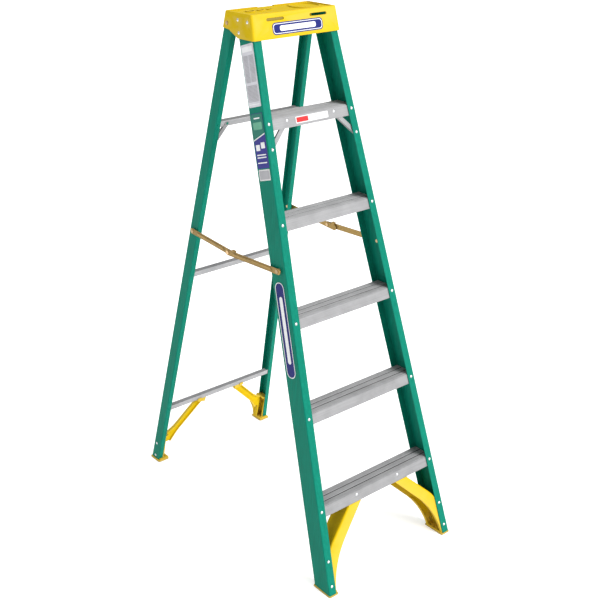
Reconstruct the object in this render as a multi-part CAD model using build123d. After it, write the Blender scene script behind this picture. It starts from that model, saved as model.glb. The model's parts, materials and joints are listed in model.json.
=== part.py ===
from build123d import *
import math
import os

# A folding step ladder with four legs, standing open. Millimetres, +Z up, the climber stands at -Y,
# +X is to the climber's right, and the origin is on the floor at the centre of the footprint.
# Each of the two frames is drawn in its own axes, x across, y through the depth of the rails and
# z up along the rails, and is then leaned over about the line where its rails meet the floor.

# ---- stance ----
FRONT_LEAN = 16.633
REAR_LEAN = 14.045
REAR_FACE_Y = 1078.9          # back face of the rear rails where it meets the floor
STEP_PITCH = 292.1            # rise from one step to the next
STEP_COUNT = 5

# ---- front rails: channels, webs outside, flanges turned in ----
FRONT_HALF_WIDTH = 276.4
FRONT_NARROWING = 0.0640      # each side comes in by this much per millimetre up the rail
FRONT_FLANGE = 28.3
FRONT_WEB = 74.6
RAIL_WALL = 3.2
FRONT_RAIL_CORNER = 3.4
REAR_RAIL_CORNER = 3.0
RAIL_INNER_CORNER = 1.4

# ---- rear rails ----
REAR_HALF_WIDTH = 268.3
REAR_NARROWING = 0.0604
REAR_FLANGE = 19.0
REAR_WEB = 43.2
REAR_WALL = 2.8

# ---- steps ----
STEP_ONE_TOP_Z = 283.0
STEP_SKIRT = 33.0
STEP_WALL = 1.8
STEP_RIVET_DROP = 11.2        # rivet centres below the tread
STEP_END_GAP = 0.6            # between the end of a step or bar and the rail's web
TREAD_BAND_HEIGHT = 0.9
TREAD_GROOVE = 4.0            # plain groove between the raised bands
TREAD_MARGIN = 2.0
TREAD_BANDS = 3
TREAD_EDGE = 0.5              # slope at the edges of a band

# ---- strut under the top step, from the skirt down to the rail ----
STEP_STRUT_TOP = (94.0, 1440.2)           # x, z of its rivets
STEP_STRUT_FOOT = (170.0, 1367.2)
STRUT_WIDTH = 14.0
STEP_STRUT_DEPTH = 8.0
STEP_STRUT_WALL = 1.5

# ---- rear bars ----
BAR_TOPS_Z = {"bottom": 259.5, "middle": 845.0, "top": 1398.0}
BAR_LIP = 19.0
BAR_DEPTH = 16.0
BAR_WALL = 1.8
BAR_HEM = 8.0                 # height of the bar's turned-down rear edge
BAR_BEAD_R = 1.6
BAR_BEAD_DROP = 15.6

# ---- strut between the top rear bar and the rail ----
REAR_STRUT_BAR_X = 135.0
REAR_STRUT_RAIL_X = 171.5
REAR_STRUT_DROP = 54.0
REAR_STRUT_WALL = 1.7
REAR_STRUT_DEPTH = 5.0

# ---- moulded top cap ----
CAP_TOP_Z = 1748.4
CAP_BOTTOM_Z = 1674.4
CAP_FRONT_BOTTOM_Y = 494.1
CAP_FRONT_TOP_Y = 511.1
CAP_REAR_BOTTOM_Y = 663.5
CAP_REAR_TOP_Y = 646.5
CAP_HALF_BOTTOM = 170.7
CAP_HALF_TOP = 165.8
CAP_WALL = 3.5
CAP_FRONT_CORNER = 7.0
CAP_REAR_CORNER = 13.0
CAP_INNER_CORNER = 5.0        # inside the rear corners, clear of the rear rails
CAP_TOP_ROUND = 2.5
CAP_TRAY_DEPTH = 3.0
CAP_RIM = 9.0
CAP_RIBS_X = (-92.0, 0.0, 70.0)
CAP_RIB_WALL = 2.6
CAP_RIB_DROP = 28.0
CAP_RELIEF = [(574.2, 1675.4), (617.7, 1694.7), (650.9, 1698.4)]   # raised rear edge of the sides
CAP_RIVETS = [(575.6, 1727.8), (528.0, 1725.8), (568.1, 1691.1)]   # y, z of the rail rivets
CAP_BOSS_R = 7.0
CAP_BOSS_LENGTH = 3.4
CAP_GRIP = 10.8               # cap wall, boss and rail web together
PIVOT_BOSS_X = 163.4          # inner end of the bosses that carry the rear frame
CAP_SLOT_Z = 1730.0
CAP_SLOT_HEIGHT = 8.5
CAP_SLOTS = [(-79.0, 66.0, 2.4), (89.0, 68.0, 12.0)]               # centre x, length, depth
TOOL_HOLES = [(-112.0, 585.0, 12.0), (-72.0, 585.0, 9.0), (-38.0, 585.0, 7.0)]  # x, y, radius
BUCKET_RING_X = 92.0
BUCKET_RING_Y = 578.0
BUCKET_RING_R = 50.0
TRAY_RING_WALL = 3.0          # raised collars round the ring and the tool holes
REAR_NOTCH_X = (-45.0, 20.0)
REAR_NOTCH_DEPTH = 6.0

# ---- pivots, given as y and z ----
FOLD_PIVOT = (628.3, 1713.2)
SPREADER_FRONT_PIVOT = (334.8, 1008.0)
SPREADER_REAR_PIVOT = (802.4, 1007.4)
SPREADER_ELBOW = (592.0, 994.0)
PIN_R = 3.2
PIN_PLAY = 0.06
PIN_TAIL_R = 5.4
PIN_TAIL_LENGTH = 1.8
FOLD_HEAD_R = 5.8
ARM_PIN_HEAD_R = 6.5
BUSH_R = 8.0
WASHER_R = 9.0
WASHER_THICK = 1.2
ELBOW_HEAD = (6.5, 2.4)       # radius and height of the elbow rivet outside
ELBOW_TAIL = (6.0, 1.8)       # and inside
ELBOW_SPLIT = 0.4             # gap between its two halves

# ---- spreader arms, pressed steel strips in two planes outside the rails ----
ARM_HEIGHT = 19.0
ARM_THICK = 2.5
ARM_TAIL = 15.0
REAR_ARM_TAIL = 12.0
FRONT_ARM_NOSE = 13.0
REAR_ARM_NOSE = 46.0          # the rear arm runs on past the elbow to carry the stop
REAR_ARM_X = 209.5            # inner face of the rear arm
FRONT_ARM_X = 214.5           # inner face of the front arm
ARM_BEAD = 1.2                # height of the bead pressed along an arm
ARM_BEAD_WIDTH = 9.0
ARM_BEAD_CLEAR = 56.0         # the bead is this much shorter than the arm's run
STOP_TAB_LENGTH = 14.0
STOP_TAB_WALL = 2.2
STOP_TAB_LIFT = 5.4           # the two arms meet at a slight angle, so the stop stands this much higher
STOP_TAB_PROUD = 1.5
ARM_PLAY = 0.1

# ---- feet ----
FRONT_SOLE = 5.0
REAR_SOLE = 6.0
FRONT_SOLE_X = (240.0, 278.0)
FRONT_SOLE_Y = (-1.0, 82.5)
REAR_SOLE_X = (226.0, 271.5)
REAR_SOLE_Y = (1022.0, 1082.0)
FOOT_WALL = 3.5
FOOT_FLOOR = 4.0
FOOT_PLATE = 3.0              # front foot's side plates behind a step's skirt; 2 mm more elsewhere
FOOT_CORNER = 3.0             # rounding where a foot sits in the rail's corner
FRONT_DRAIN_R = 4.2
REAR_DRAIN_R = 3.6
FRONT_DRAINS = ((0.25, 0.75), (0.2, 0.5, 0.8))      # places as shares of the floor's width and length
REAR_DRAINS = ((0.28, 0.72), (0.32, 0.72))
FLOOR_EDGE = 1.0              # the floor of a foot stops this far inside the rail
SOLE_GROOVES = 5
SOLE_GROOVE = (3.0, 2.4)      # width, and twice the depth

# ---- knee brace of the front foot, (x, distance up the rail) ----
KNEE_TAB_TOP = 292.0
KNEE_TAB_X = (78.5, 124.0)
KNEE_LOW_START = (78.5, 261.0)
KNEE_LOW_BEND = (170.0, 165.0)
KNEE_HIGH_START = (132.0, 261.0)
KNEE_HIGH_BEND = (216.0, 177.0)
KNEE_MEETS_RAIL = 95.0
KNEE_TOE_X = 246.5
KNEE_RIM_TOP = 148.0          # rims stiffen the lower edges below this
KNEE_ROUND = 6.0              # outer corners between the plates and the web
KNEE_SLOPE = (1, -1.05)       # direction of the straight part where the curves begin

# ---- brace of the rear foot, (x, height) ----
REAR_KNEE_LOW = [(72.0, 226.0), (162.0, 131.0)]
REAR_KNEE_HIGH = [(106.0, 233.0), (190.0, 144.5)]
REAR_FOOT_TOE_X = 229.0
REAR_FOOT_TOP_Z = 112.0
REAR_BRACE_BACK = 18.0        # depth range of the brace, counted forward of the rail's back face
REAR_BRACE_FRONT = 28.0
REAR_BRACE_PLATE = 5.0
REAR_BRIDGE_X = 229.0         # wall that joins the brace to the trough in the rail
REAR_BRIDGE_WIDTH = 5.0
REAR_PLATE_UP = 78.0          # below this only the back of the trough goes on to the floor
HOOK_LAP_WIDTH = 16.0
HOOK_LAP_HEIGHT = 5.0
HOOK_WALL = 3.0

# ---- rivets ----
RIVET_HEAD_R = 5.0
RIVET_HEAD_H = 2.2
RIVET_SHANK_R = 2.4
RIVET_TAIL_R = 4.0
RIVET_TAIL_H = 1.6
SMALL_HEAD_R = 4.2
FIT_GAP = 0.2                 # clearance between nested pieces
HAIR_GAP = 0.1                # clearance of pressed strips and of rivet shanks
FRONT_FOOT_RIVETS_Z = (113.0, 32.8)
FOOT_SKIRT_RIVET = (92.0, 271.5)                # x, z
REAR_FOOT_RIVETS = [(16.0, 81.0), (20.5, 24.0)]     # depth, distance up the rail

# ---- labels, plain thin plates ----
LABEL_THICK = 0.4
RAIL_LABELS = {               # depth, distance up the rail, width, height, corner radius
    "instruction_label": (38.5, 1653.0, 62.0, 186.0, 3.0),
    "size_label": (38.0, 1459.0, 60.0, 166.0, 3.0),
    "small_label": (37.5, 1356.0, 56.0, 34.0, 3.0),
    "side_decal": (41.0, 873.0, 44.0, 306.0, 21.0),
}
STEP_LABEL = (130.0, 21.0, 2.0)                 # width, height, corner radius
STEP_LABEL_Z = 1435.5
CAP_DECAL = (196.0, 36.0, 12.0)
CAP_DECAL_Z = 1702.0
FRONT_LABELS_X = 4.0

STEP_GRIP = RAIL_WALL + FIT_GAP + STEP_WALL
PLATE_OUT = RAIL_WALL + FIT_GAP                 # depth at which nested plates begin
BEHIND_SKIRT = STEP_GRIP + FIT_GAP              # depth at which plates behind a skirt begin
PLATE_IN = BEHIND_SKIRT + FOOT_PLATE            # inner face of the foot's plates
REAR_LINING = REAR_WALL + FIT_GAP               # depth at which pieces inside a rear rail begin
REAR_INNER_FACE = REAR_WEB - REAR_LINING        # the same, from the rail's front side
ORIGIN_Y = (FRONT_SOLE_Y[0] + REAR_SOLE_Y[1]) / 2
FAR = 2500.0
RIGHT_SIDE = (100.0, 280.0)   # x range that takes in everything on the right
FRONT = Location((0, 0, 0), (-FRONT_LEAN, 0, 0))
REAR = Location((0, REAR_FACE_Y, 0), (REAR_LEAN, 0, 0))
SIN_F = math.sin(math.radians(FRONT_LEAN))
COS_F = math.cos(math.radians(FRONT_LEAN))
SIN_R = math.sin(math.radians(REAR_LEAN))
COS_R = math.cos(math.radians(REAR_LEAN))

nodes = {}


# ---------------------------------------------------------------- helpers
def front_up(z, depth=0.0):
    """Distance up the front rail of a point at height z and this depth behind the front face."""
    return (z + depth * SIN_F) / COS_F


def rear_up(z, depth=0.0):
    """Distance up the rear rail of a point at height z, depth counted forward of the back face."""
    return (z + depth * SIN_R) / COS_R


def front_half(up):
    """Half width over the front webs."""
    return FRONT_HALF_WIDTH - FRONT_NARROWING * up


def rear_half(up):
    """Half width over the rear webs."""
    return REAR_HALF_WIDTH - REAR_NARROWING * up


def cap_half(z):
    """Half width over the sides of the cap."""
    rise = (z - CAP_BOTTOM_Z) / (CAP_TOP_Z - CAP_BOTTOM_Z)
    return CAP_HALF_BOTTOM + rise * (CAP_HALF_TOP - CAP_HALF_BOTTOM)


def mirrored(shape):
    """The same piece on the other side of the ladder."""
    return mirror(shape, about=Plane.YZ)


def slab(sketch, y0, y1):
    """A flat outline (x across, y up the rail) given depth from y0 to y1."""
    return Rot(90, 0, 0) * (Pos(0, 0, -y1) * extrude(sketch, y1 - y0))


def profile_bar(points, half_length):
    """A closed outline of (y, z) points run along X from -half_length to +half_length."""
    face = make_face(Polyline(*[(0, y, z) for y, z in points], close=True))
    return Pos(-half_length, 0, 0) * extrude(face, 2 * half_length, dir=(1, 0, 0))


def edge_strip(outline, across_x, across_y):
    """The strip of an outline that is left bare when a copy of it moves by this much."""
    return outline - Pos(across_x, across_y) * outline


def solids_of(*shapes):
    """Every solid in the shapes, as one flat list."""
    found = []
    for shape in shapes:
        found += list(shape.solids())
    return found


def add(name, *shapes):
    """Puts the shapes in one named node."""
    nodes[name] = solids_of(*shapes)


def add_pair(name, right):
    """A piece drawn on the right, and its mirror image on the left."""
    add(name + "_right", right)
    add(name + "_left", mirrored(right))


def below(z):
    """Everything lower than z."""
    return Pos(0, 0, z - FAR / 2) * Box(FAR, 2 * FAR, FAR)


def rivet(point, inward, grip, head_r=RIVET_HEAD_R, shank_r=RIVET_SHANK_R):
    """A dome-headed rivet: the head's flat is at point, the shank runs inward through the grip."""
    tail_r = shank_r + RIVET_TAIL_R - RIVET_SHANK_R
    end = grip + RIVET_TAIL_H
    ball = (head_r ** 2 + RIVET_HEAD_H ** 2) / (2 * RIVET_HEAD_H)
    half_angle = math.asin(head_r / ball) / 2
    middle = (ball * math.sin(half_angle), ball - RIVET_HEAD_H - ball * math.cos(half_angle))
    outline = Polyline((0, end), (tail_r, end), (tail_r, grip), (shank_r, grip), (shank_r, 0), (head_r, 0))
    dome = ThreePointArc((head_r, 0), middle, (0, -RIVET_HEAD_H))
    axis = Line((0, -RIVET_HEAD_H), (0, end))
    blank = revolve(Plane.XZ * make_face(outline + dome + axis), axis=Axis.Z)
    return Plane(origin=point, z_dir=inward).location * blank


def rivet_hole(point, inward, grip):
    """The hole that the rivet's shank fills."""
    drill = Pos(0, 0, grip / 2) * Cylinder(RIVET_SHANK_R + HAIR_GAP, grip + 1.0)
    return Plane(origin=point, z_dir=inward).location * drill


def rivet_room(point, inward, grip):
    """The rivet's hole, with room round its tail on the far side of the grip."""
    length = RIVET_TAIL_H + FIT_GAP
    seat = Pos(0, 0, grip + length / 2) * Cylinder(RIVET_TAIL_R + FIT_GAP, length)
    return rivet_hole(point, inward, grip) + Plane(origin=point, z_dir=inward).location * seat


def across(radius, x0, x1, y, z):
    """A round bar along X, from x0 to x1."""
    return Pos((x0 + x1) / 2, y, z) * (Rot(0, 90, 0) * Cylinder(radius, abs(x1 - x0)))


def right_bore(radius, pivot):
    """A round bar along X through the whole right side, at a pivot's (y, z)."""
    return across(radius, *RIGHT_SIDE, *pivot)


def drained(floor, x_range, y_range, z, places, radius):
    """A foot's floor with round holes at places given as shares of its width and length."""
    for x_share in places[0]:
        for y_share in places[1]:
            x = x_range[0] + (x_range[1] - x_range[0]) * x_share
            y = y_range[0] + (y_range[1] - y_range[0]) * y_share
            floor -= Pos(x, y, z) * Cylinder(radius, FOOT_FLOOR + 1)
    return floor


# ---------------------------------------------------------------- rails
def channel(flange, web, wall, corner, inner_corner):
    """Channel section with its web's outer face at x = 0 and its flanges towards -x."""
    section = Pos(-flange / 2, web / 2) * Rectangle(flange, web)
    section -= Pos(-wall - flange / 2, web / 2) * Rectangle(flange, web - 2 * wall)
    outer = section.vertices().filter_by_position(Axis.X, -0.1, 0.1)
    section = fillet(outer, corner)
    inner = section.vertices().filter_by_position(Axis.X, -wall - 0.1, -wall + 0.1)
    section = fillet(inner, inner_corner)
    tips = section.vertices().filter_by_position(Axis.X, -flange - 0.1, -flange + 0.1)
    return fillet(tips, wall * 0.3)


def front_rail(inner_corner=RAIL_INNER_CORNER):
    """Right front rail in its frame's axes, long enough to be trimmed at both ends."""
    start = -60.0
    section = channel(FRONT_FLANGE, FRONT_WEB, RAIL_WALL, FRONT_RAIL_CORNER, inner_corner)
    section = Pos(front_half(start), 0, start) * section
    length = front_up(CAP_TOP_Z) + 200 - start
    return extrude(section, length, dir=(-FRONT_NARROWING, 0, 1))


def rear_rail(inner_corner=RAIL_INNER_CORNER):
    """Right rear rail in its frame's axes; its back face is at y = 0."""
    start = -60.0
    section = channel(REAR_FLANGE, REAR_WEB, REAR_WALL, REAR_RAIL_CORNER, inner_corner)
    section = Pos(rear_half(start), -REAR_WEB, start) * section
    length = rear_up(CAP_TOP_Z) + 100 - start
    return extrude(section, length, dir=(-REAR_NARROWING, 0, 1))


# ---------------------------------------------------------------- rivet places in the front frame
def step_top_z(index):
    """Height of a tread, index 0 for the lowest."""
    return STEP_ONE_TOP_Z + index * STEP_PITCH


def front_flange_rivets():
    """Points and directions of the rivets that hold the steps to the right rail, front and back."""
    places = []
    for index in range(STEP_COUNT):
        z = step_top_z(index) - STEP_RIVET_DROP
        for depth, inward in ((0.0, 1), (FRONT_WEB, -1)):
            up = front_up(z, depth)
            x = front_half(up) - FRONT_FLANGE / 2
            places.append(((x, depth, up), (0, inward, 0)))
    return places


def front_foot_rivet_places():
    """Two rivets through each flange near the floor hold the foot in the rail."""
    places = []
    for z in FRONT_FOOT_RIVETS_Z:
        for depth, inward in ((0.0, 1), (FRONT_WEB, -1)):
            up = front_up(z) + depth * 0.12
            places.append(((front_half(up) - FRONT_FLANGE / 2, depth, up), (0, inward, 0)))
    return places


# ---------------------------------------------------------------- front frame
def tread_line(width, z):
    """Top of a tread from front to back: raised bands with plain grooves between them."""
    band = (width - 2 * TREAD_MARGIN - (TREAD_BANDS - 1) * TREAD_GROOVE) / TREAD_BANDS
    points = []
    for index in range(TREAD_BANDS):
        left = TREAD_MARGIN + index * (band + TREAD_GROOVE)
        points += [(left, z), (left + TREAD_EDGE, z + TREAD_BAND_HEIGHT)]
        points += [(left + band - TREAD_EDGE, z + TREAD_BAND_HEIGHT), (left + band, z)]
    return points


def step(index):
    """A channel-shaped step: level banded tread, skirts in line with the rails' flanges."""
    top = step_top_z(index) - TREAD_BAND_HEIGHT
    bottom = step_top_z(index) - STEP_SKIRT
    slope = math.tan(math.radians(FRONT_LEAN))
    front = PLATE_OUT / COS_F
    back = (FRONT_WEB - PLATE_OUT) / COS_F
    wall = STEP_WALL / COS_F
    under = top - STEP_WALL
    bands = [(front + top * slope + y, z) for y, z in tread_line(back - front, top)]
    outline = [(front + bottom * slope, bottom), (front + top * slope, top)]
    outline += bands
    outline += [(back + top * slope, top), (back + bottom * slope, bottom),
                (back + bottom * slope - wall, bottom), (back + under * slope - wall, under),
                (front + under * slope + wall, under), (front + bottom * slope + wall, bottom)]
    up = front_up(step_top_z(index), FRONT_WEB)
    half = front_half(up) - RAIL_WALL - STEP_END_GAP
    return profile_bar(outline, half)


def strut_place(start, end):
    """Length of a strut between two rivets, and the move that lays a drawing along X over it."""
    run = math.hypot(end[0] - start[0], end[1] - start[1])
    turn = math.degrees(math.atan2(end[1] - start[1], end[0] - start[0]))
    return run, Pos((start[0] + end[0]) / 2, (start[1] + end[1]) / 2) * Rot(0, 0, turn)


def strut_sides(run, wall):
    """The two turned edges of a strut, drawn along X."""
    length = run - 2 * STEP_STRUT_WALL
    return Rectangle(length, STRUT_WIDTH) - Rectangle(length, STRUT_WIDTH - 2 * wall)


def front_strut_ends():
    """Rivet points of the strut under the top step, (x, distance up the rail)."""
    top = (STEP_STRUT_TOP[0], front_up(STEP_STRUT_TOP[1], PLATE_OUT))
    return top, (STEP_STRUT_FOOT[0], front_up(STEP_STRUT_FOOT[1]))


def front_strut():
    """Strut under the top step: a channel with its flat side to the front."""
    top, foot = front_strut_ends()
    run, place = strut_place(top, foot)
    flat = BEHIND_SKIRT + STEP_STRUT_WALL
    strut = slab(place * SlotCenterToCenter(run, STRUT_WIDTH), BEHIND_SKIRT, flat)
    strut += slab(place * strut_sides(run, STEP_STRUT_WALL), flat, BEHIND_SKIRT + STEP_STRUT_DEPTH)
    spacer = Pos(*foot) * Circle(STRUT_WIDTH / 2)
    return strut + slab(spacer, PLATE_OUT, BEHIND_SKIRT)


def front_strut_rivet_places():
    """Where the two rivets of the right strut go, with the thickness each one holds."""
    top, foot = front_strut_ends()
    skirt = ((top[0], PLATE_OUT, top[1]), STEP_WALL + FIT_GAP + STEP_STRUT_WALL)
    return [skirt, ((foot[0], 0.0, foot[1]), BEHIND_SKIRT + STEP_STRUT_WALL)]


# ---------------------------------------------------------------- feet
def front_foot_side():
    """The curved gusset: a straight run from the step, then an arc into the rail."""
    low_up = front_up(FRONT_SOLE) - 8.0
    toe = (KNEE_TOE_X, low_up)
    heel = (front_half(low_up) - PLATE_OUT, low_up)
    web_meet = (front_half(KNEE_MEETS_RAIL) - PLATE_OUT, KNEE_MEETS_RAIL)
    arch = Line(KNEE_LOW_START, KNEE_LOW_BEND) + TangentArc(KNEE_LOW_BEND, toe, tangent=KNEE_SLOPE)
    back = Line(KNEE_HIGH_START, KNEE_HIGH_BEND)
    back += TangentArc(KNEE_HIGH_BEND, web_meet, tangent=(1, -1)) + Line(web_meet, heel)
    tab_in, tab_out = KNEE_TAB_X
    tab = Polyline(KNEE_LOW_START, (tab_in, KNEE_TAB_TOP), (tab_out, KNEE_TAB_TOP), KNEE_HIGH_START)
    return make_face(arch + back + tab + Line(toe, heel))


def knee_corners(block):
    """The block's two long corners along the upper edge of the knee brace, straight part and arc."""
    found = []
    for edge in block.edges():
        ends = [(point.X, point.Z) for point in (edge @ 0, edge @ 1)]
        level = abs((edge @ 0).Y - (edge @ 1).Y) < 0.01
        on_bend = [math.dist(end, KNEE_HIGH_BEND) < 0.1 for end in ends]
        if level and any(on_bend):
            found.append(edge)
    return found


def front_foot():
    """Right front foot and knee brace, one moulding: a trough open towards the middle."""
    side = front_foot_side()
    far_face = FRONT_WEB - PLATE_OUT
    block = slab(side, PLATE_OUT, far_face)
    block = fillet(knee_corners(block), KNEE_ROUND)
    hollow = side & (Pos(-FOOT_WALL, -FOOT_WALL / 2) * side)
    body = block - slab(hollow, PLATE_IN, FRONT_WEB - PLATE_IN)
    rim = edge_strip(side, FOOT_WALL, FOOT_WALL) & Rectangle(FAR, 2 * KNEE_RIM_TOP)
    body += slab(rim, PLATE_IN, PLATE_IN + FOOT_PLATE)
    body += slab(rim, FRONT_WEB - PLATE_IN - FOOT_PLATE, FRONT_WEB - PLATE_IN)
    skirt_z = STEP_ONE_TOP_Z - STEP_SKIRT
    front_skirt = (PLATE_OUT - 1.0, BEHIND_SKIRT, PLATE_OUT)
    back_skirt = (FRONT_WEB - BEHIND_SKIRT, far_face + 1.0, far_face)
    for y0, y1, depth in (front_skirt, back_skirt):
        skirt_up = front_up(skirt_z, depth) - 1.0
        body -= slab(Pos(0, skirt_up + FAR / 2) * Rectangle(FAR, FAR), y0, y1)
    for point, inward in front_foot_rivet_places():
        body -= rivet_room(point, inward, PLATE_IN)
    x, z = FOOT_SKIRT_RIVET
    body -= rivet_room((x, PLATE_OUT, front_up(z, PLATE_OUT)), (0, 1, 0), PLATE_IN - PLATE_OUT)
    body = FRONT * (body - front_rail(FOOT_CORNER))
    return body + front_foot_floor() - below(FRONT_SOLE)


def front_foot_floor():
    """Level floor of the foot inside the rail, with drain holes."""
    slope = math.tan(math.radians(FRONT_LEAN))
    mid = FRONT_SOLE + FOOT_FLOOR / 2
    y0 = PLATE_OUT / COS_F + mid * slope + 1.5 * FLOOR_EDGE
    y1 = (FRONT_WEB - PLATE_OUT) / COS_F + mid * slope - 1.5 * FLOOR_EDGE
    x0 = FRONT_SOLE_X[0] + FLOOR_EDGE
    x1 = front_half(front_up(mid)) - PLATE_OUT - FLOOR_EDGE
    floor = Pos((x0 + x1) / 2, (y0 + y1) / 2, mid) * Box(x1 - x0, y1 - y0, FOOT_FLOOR)
    floor = drained(floor, (x0, x1), (y0, y1), mid, FRONT_DRAINS, FRONT_DRAIN_R)
    return floor - FRONT * front_rail(FOOT_CORNER)


def sole(x_range, y_range, height):
    """A flat tread pad with rounded corners and cross grooves in its underside."""
    wide = x_range[1] - x_range[0]
    long = y_range[1] - y_range[0]
    pad = extrude(RectangleRounded(wide, long, 5.0), height)
    pad = fillet(pad.edges().group_by(Axis.Z)[-1], 1.2)
    for index in range(SOLE_GROOVES):
        y = -long / 2 + long * (index + 0.5) / SOLE_GROOVES
        pad -= Pos(0, y, 0) * Box(wide + 1, *SOLE_GROOVE)
    return Pos((x_range[0] + x_range[1]) / 2, (y_range[0] + y_range[1]) / 2, 0) * pad


def rear_foot_side():
    """Outline of the rear foot: a curved brace that widens into the rail, down to the floor."""
    mid = (REAR_BRACE_BACK + REAR_BRACE_FRONT) / 2
    low_end, low_bend = [(x, rear_up(z, mid)) for x, z in REAR_KNEE_LOW]
    high_end, high_bend = [(x, rear_up(z, mid)) for x, z in REAR_KNEE_HIGH]
    top_up = rear_up(REAR_FOOT_TOP_Z, mid)
    web_top = (rear_half(top_up) - REAR_LINING, top_up)
    floor_up = rear_up(0.0)
    heel = (rear_half(floor_up) - REAR_LINING, floor_up)
    toe = (REAR_FOOT_TOE_X, floor_up)
    low_curve = Line(low_end, low_bend) + TangentArc(low_bend, toe, tangent=KNEE_SLOPE)
    high_curve = Line(high_end, high_bend) + TangentArc(high_bend, web_top, tangent=KNEE_SLOPE)
    ends = Line(toe, heel) + Line(heel, web_top) + Line(high_end, low_end)
    return make_face(low_curve + high_curve + ends), low_end, high_end, top_up


def rear_foot():
    """Right rear foot: a trough in the rail, a floor, and a curved brace up to the bottom bar."""
    side, low_end, high_end, top_up = rear_foot_side()
    plate_front = -REAR_BRACE_FRONT + REAR_BRACE_PLATE
    brace = side & (Pos(REAR_BRIDGE_X - FAR / 2, REAR_PLATE_UP + FAR / 2) * Rectangle(FAR, FAR))
    trough = side & (Pos(REAR_BRIDGE_X + FAR / 2, 0) * Rectangle(FAR, 2 * FAR))
    shin = side & (Pos(REAR_BRIDGE_X - 50, REAR_PLATE_UP / 2) * Rectangle(100, REAR_PLATE_UP + 40))
    bridge = side & (Pos(REAR_BRIDGE_X, 0) * Rectangle(REAR_BRIDGE_WIDTH, 2 * FAR))
    lining = edge_strip(side, -FOOT_WALL, -FOOT_WALL / 2)
    rims = lining + edge_strip(side, FOOT_WALL, FOOT_WALL)
    body = slab(brace, plate_front, -REAR_BRACE_BACK)
    body += slab(rims & brace, -REAR_BRACE_FRONT, -REAR_BRACE_BACK)
    body += slab(bridge, plate_front, -REAR_LINING)
    body += slab(trough, -REAR_LINING - FOOT_WALL, -REAR_LINING)
    body += slab(shin, -REAR_LINING - FOOT_WALL, -REAR_LINING)
    body += slab(lining & trough, -REAR_INNER_FACE, -REAR_LINING)
    flange_tip = rear_half(top_up / 2) - REAR_FLANGE
    front_edge = side & (Pos(flange_tip - 3 + FAR / 2, 0) * Rectangle(FAR, 2 * FAR))
    body += slab(front_edge, -REAR_INNER_FACE, -REAR_INNER_FACE + FOOT_WALL)
    body += rear_brace_hook(low_end, high_end)
    for point, inward in rear_foot_rivet_places():
        body -= rivet_room(point, inward, REAR_LINING + FOOT_WALL)
    body = REAR * (body - rear_rail(FOOT_CORNER))
    return body + rear_foot_floor() - below(REAR_SOLE)


def rear_brace_hook(low_end, high_end):
    """Upper end of the brace: it fills the space under the bottom bar and laps over its lip."""
    bar_bottom = rear_up(BAR_TOPS_Z["bottom"], REAR_WEB - REAR_WALL) - BAR_LIP
    x0 = low_end[0] - 2
    x1 = high_end[0] + 2
    corners = [(x0, bar_bottom - FIT_GAP), (x1, bar_bottom - FIT_GAP), high_end, low_end]
    fill = make_face(Polyline(*corners, close=True))
    block = slab(fill, -REAR_INNER_FACE, -REAR_BRACE_BACK)
    under = Pos((x0 + x1) / 2, bar_bottom + 3.0) * Rectangle(x1 - x0, 8.0)
    behind_lip = -REAR_INNER_FACE + BAR_WALL + BAR_BEAD_R + 1.0
    block += slab(under, behind_lip, -REAR_BRACE_BACK)
    lap = Pos(x1 - HOOK_LAP_WIDTH / 2, bar_bottom) * Rectangle(HOOK_LAP_WIDTH, 2 * HOOK_LAP_HEIGHT)
    block += slab(lap, -REAR_INNER_FACE - HOOK_WALL, -REAR_INNER_FACE - FIT_GAP)
    return block + slab(lap & fill, -REAR_INNER_FACE - HOOK_WALL, -REAR_INNER_FACE)


def rear_foot_floor():
    """Level floor of the rear foot, with four drain holes."""
    mid = REAR_SOLE + FOOT_FLOOR / 2
    slope = math.tan(math.radians(REAR_LEAN))
    y0 = REAR_SOLE_Y[0] + 3 * FLOOR_EDGE
    y1 = REAR_FACE_Y - REAR_LINING / COS_R - mid * slope - FLOOR_EDGE
    x0 = REAR_SOLE_X[0] + FLOOR_EDGE
    x1 = rear_half(rear_up(mid)) - REAR_LINING - FLOOR_EDGE
    floor = Pos((x0 + x1) / 2, (y0 + y1) / 2, mid) * Box(x1 - x0, y1 - y0, FOOT_FLOOR)
    floor = drained(floor, (x0, x1), (y0, y1), mid, REAR_DRAINS, REAR_DRAIN_R)
    return floor - REAR * rear_rail(FOOT_CORNER)


def rear_foot_rivet_places():
    """Two rivets through the rear rail's web."""
    places = []
    for depth, up in REAR_FOOT_RIVETS:
        places.append(((rear_half(up), -depth, up), (-1, 0, -REAR_NARROWING)))
    return places


# ---------------------------------------------------------------- rear frame
def rear_bar(name):
    """A stiffening bar between the rear rails: a front lip, a ledge that runs back, and a hem."""
    top = rear_up(BAR_TOPS_Z[name], REAR_WEB - REAR_WALL)
    face = -REAR_INNER_FACE
    half = rear_half(top) - REAR_WALL - STEP_END_GAP
    free_half = rear_half(top) - REAR_FLANGE - 6.0
    lip = Pos(0, face + BAR_WALL / 2, top - BAR_LIP / 2) * Box(2 * half, BAR_WALL, BAR_LIP)
    ledge = Pos(0, face + BAR_DEPTH / 2, top - BAR_WALL / 2) * Box(2 * free_half, BAR_DEPTH, BAR_WALL)
    hem_y = face + BAR_DEPTH - BAR_WALL / 2
    hem = Pos(0, hem_y, top - BAR_HEM / 2) * Box(2 * free_half, BAR_WALL, BAR_HEM)
    bead = across(BAR_BEAD_R, -free_half, free_half, face + BAR_WALL, top - BAR_BEAD_DROP)
    behind = Pos(0, face + BAR_WALL + 2.0, top - BAR_LIP / 2) * Box(2 * free_half, 4.0, BAR_LIP)
    bar = lip + ledge + hem + (bead & behind)
    edge = bar.edges().filter_by(Axis.X).group_by(Axis.Z)[-1].sort_by(Axis.Y)[0]
    return fillet(edge, 1.2)


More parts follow.
